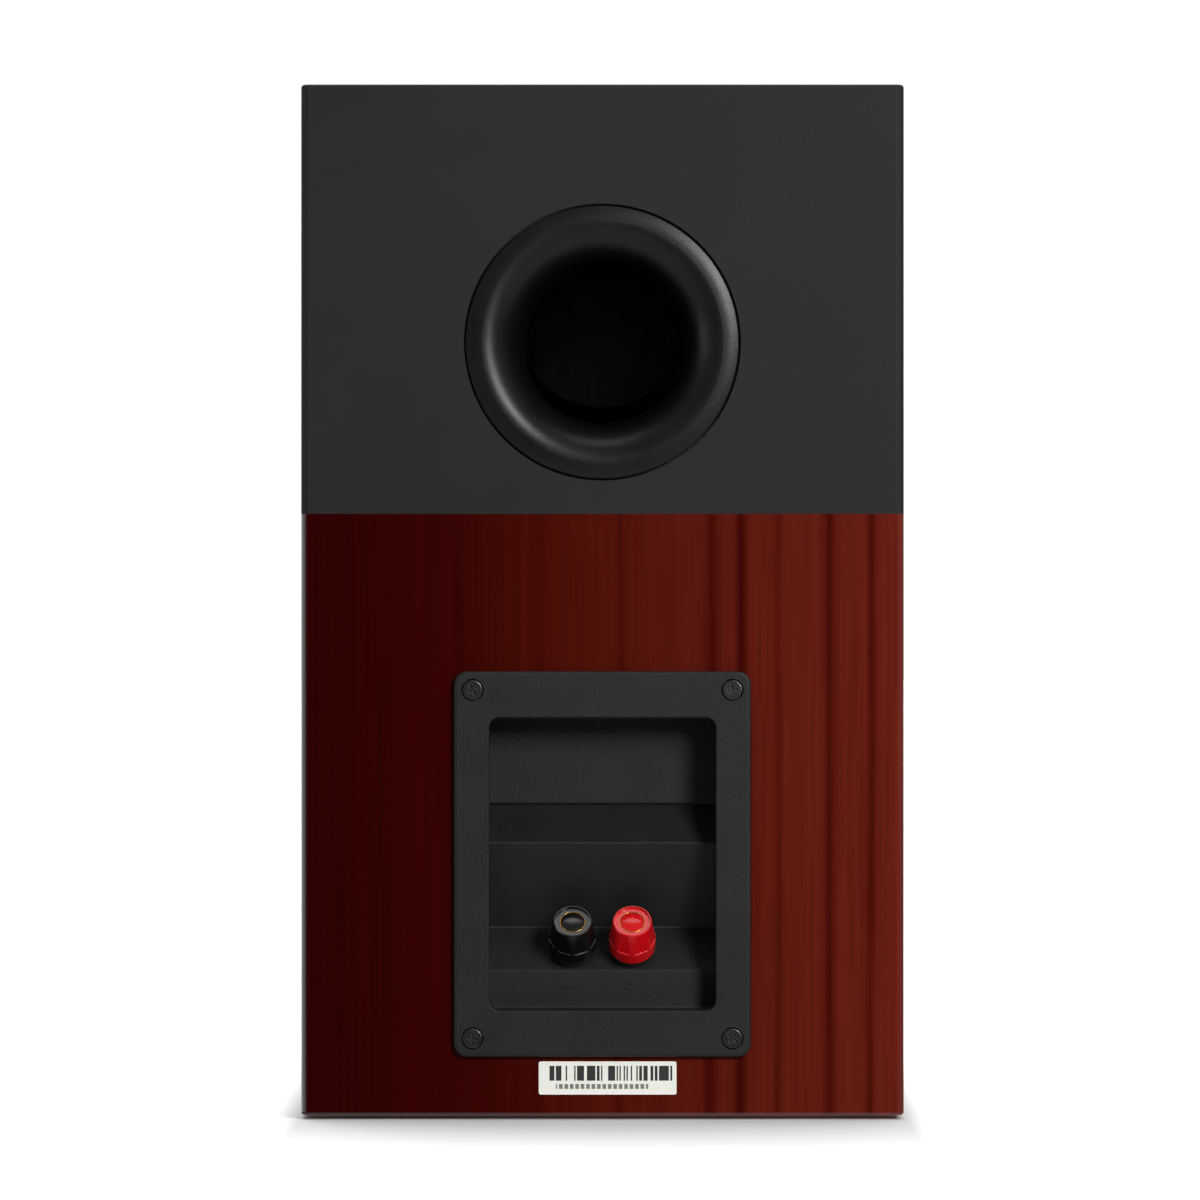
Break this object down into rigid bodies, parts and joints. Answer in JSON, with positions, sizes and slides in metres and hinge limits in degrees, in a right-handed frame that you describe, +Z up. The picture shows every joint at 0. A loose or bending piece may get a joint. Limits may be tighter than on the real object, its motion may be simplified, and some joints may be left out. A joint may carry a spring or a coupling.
{
  "type": "bookshelf speaker",
  "caption": "Two-way bookshelf loudspeaker in satin black over gloss cherry, with a flared rear port, a recessed terminal cup with tilted posts and a lift-off woofer grille.",
  "frame": {"origin": "on the floor, under the middle of the object's overall box", "axes": "+Z up, baffle and grille face -Y, port and terminals face +Y, +X is to the right of someone who faces the baffle"},
  "size_m": [0.222, 0.292, 0.381],
  "materials": {
    "veneer": "high-gloss lacquered cherry veneer",
    "black_vinyl": "satin black wrap",
    "mdf": "raw fibreboard",
    "rubber": "matt black rubber",
    "wadding": "loose polyester wadding",
    "port_plastic": "satin black moulding",
    "cup_plastic": "fine pebble-grained black moulding",
    "foam": "closed-cell foam",
    "black_screw": "black oxide",
    "gold_brass": "gold plated",
    "black_cap": "gloss black",
    "red_cap": "gloss red",
    "zinc_steel": "zinc plated",
    "paper": "matt white sticker",
    "circuit_board": "green solder mask",
    "nylon": "natural nylon",
    "copper_winding": "enamelled copper wire",
    "capacitor_film": "wrapped yellow film",
    "cement": "white cement",
    "wire_jacket": "black insulation",
    "basket_steel": "black powder coat",
    "cone_paper": "coated black paper",
    "dust_cap": "coated black paper",
    "spider_cloth": "resin-treated cotton",
    "former_kapton": "amber film",
    "motor_steel": "zinc plated",
    "ferrite": "sintered ferrite",
    "silk": "treated black silk",
    "grille_plastic": "matt black moulding",
    "grille_cloth": "knitted black cloth",
    "magnet_nickel": "nickel plated"
  },
  "bodies": {
    "cabinet": {"lower_veneer": "veneer", "upper_wrap": "black_vinyl", "rubber_feet": "rubber", "damping_pads": "wadding", "port_flare": "port_plastic", "port_tube": "port_plastic", "terminal_cup": "cup_plastic", "cup_gasket": "foam", "cup_screws": "black_screw", "rear_label": "paper", "red_collar": "cup_plastic", "black_collar": "cup_plastic", "red_stud": "gold_brass", "black_stud": "gold_brass", "post_nuts": "zinc_steel", "terminal_tags": "gold_brass", "crossover_board": "circuit_board", "board_standoffs": "nylon", "air_core_coil": "copper_winding", "core_coil": "copper_winding", "film_capacitors": "capacitor_film", "cement_resistors": "cement", "input_leads": "wire_jacket", "driver_leads": "wire_jacket", "woofer_basket": "basket_steel", "woofer_trim_ring": "rubber", "woofer_screws": "black_screw", "woofer_surround": "rubber", "woofer_spider": "spider_cloth", "woofer_front_plate": "motor_steel", "woofer_magnet": "ferrite", "woofer_pole_piece": "motor_steel", "tweeter_waveguide": "port_plastic", "waveguide_screws": "black_screw", "tweeter_front_plate": "motor_steel", "tweeter_magnet": "ferrite", "tweeter_pole_piece": "motor_steel", "baffle_magnets": "magnet_nickel", "left_side_panel": "mdf", "right_side_panel": "mdf", "top_panel": "mdf", "bottom_panel": "mdf", "rear_panel": "mdf", "front_baffle": "mdf", "window_brace": "mdf"},
    "woofer_diaphragm": {"woofer_cone": "cone_paper", "woofer_dust_cap": "dust_cap", "woofer_coil_former": "former_kapton", "woofer_coil": "copper_winding"},
    "tweeter_diaphragm": {"tweeter_dome": "silk", "tweeter_coil": "copper_winding"},
    "grille": {"grille_frame": "grille_plastic", "grille_cloth": "grille_cloth", "grille_magnets": "magnet_nickel"},
    "red_clamp": {"red_washer": "gold_brass"},
    "red_thumb_cap": {"red_cap": "red_cap"},
    "red_plug": {"red_stopper": "red_cap"},
    "black_clamp": {"black_washer": "gold_brass"},
    "black_thumb_cap": {"black_cap": "black_cap"},
    "black_plug": {"black_stopper": "black_cap"}
  },
  "joints": [
    {"name": "woofer_travel", "type": "slide", "parent": "cabinet", "child": "woofer_diaphragm", "axis": [0, -1, 0], "range_m": [-0.005, 0.005], "stiffness_N_per_m": 1000, "deforming": ["woofer_surround", "woofer_spider"]},
    {"name": "tweeter_travel", "type": "slide", "parent": "cabinet", "child": "tweeter_diaphragm", "axis": [0, -1, 0], "range_m": [-0.0003, 0.0003], "stiffness_N_per_m": 1500},
    {"name": "grille_pull", "type": "slide", "parent": "cabinet", "child": "grille", "axis": [0, -1, 0], "range_m": [0, 0.05]},
    {"name": "red_cap_rise", "type": "slide", "parent": "cabinet", "child": "red_clamp", "axis": [0, 0.766, 0.6428], "range_m": [0, 0.004]},
    {"name": "red_cap_turn", "type": "hinge", "parent": "red_clamp", "child": "red_thumb_cap", "pos_m": [-0.011, 0.12621, 0.0613], "axis": [0, 0.766, 0.6428], "range_deg": [0, 1440]},
    {"name": "red_stopper_pull", "type": "slide", "parent": "red_thumb_cap", "child": "red_plug", "axis": [0, 0.766, 0.6428], "range_m": [0, 0.012]},
    {"name": "black_cap_rise", "type": "slide", "parent": "cabinet", "child": "black_clamp", "axis": [0, 0.766, 0.6428], "range_m": [0, 0.004]},
    {"name": "black_cap_turn", "type": "hinge", "parent": "black_clamp", "child": "black_thumb_cap", "pos_m": [0.011, 0.12621, 0.0613], "axis": [0, 0.766, 0.6428], "range_deg": [0, 1440]},
    {"name": "black_stopper_pull", "type": "slide", "parent": "black_thumb_cap", "child": "black_plug", "axis": [0, 0.766, 0.6428], "range_m": [0, 0.012]}
  ],
  "couplings": [
    {"joint": "red_cap_rise", "follows": "red_cap_turn", "m_per_rad": 0.00015915},
    {"joint": "black_cap_rise", "follows": "black_cap_turn", "m_per_rad": 0.00015915}
  ]
}
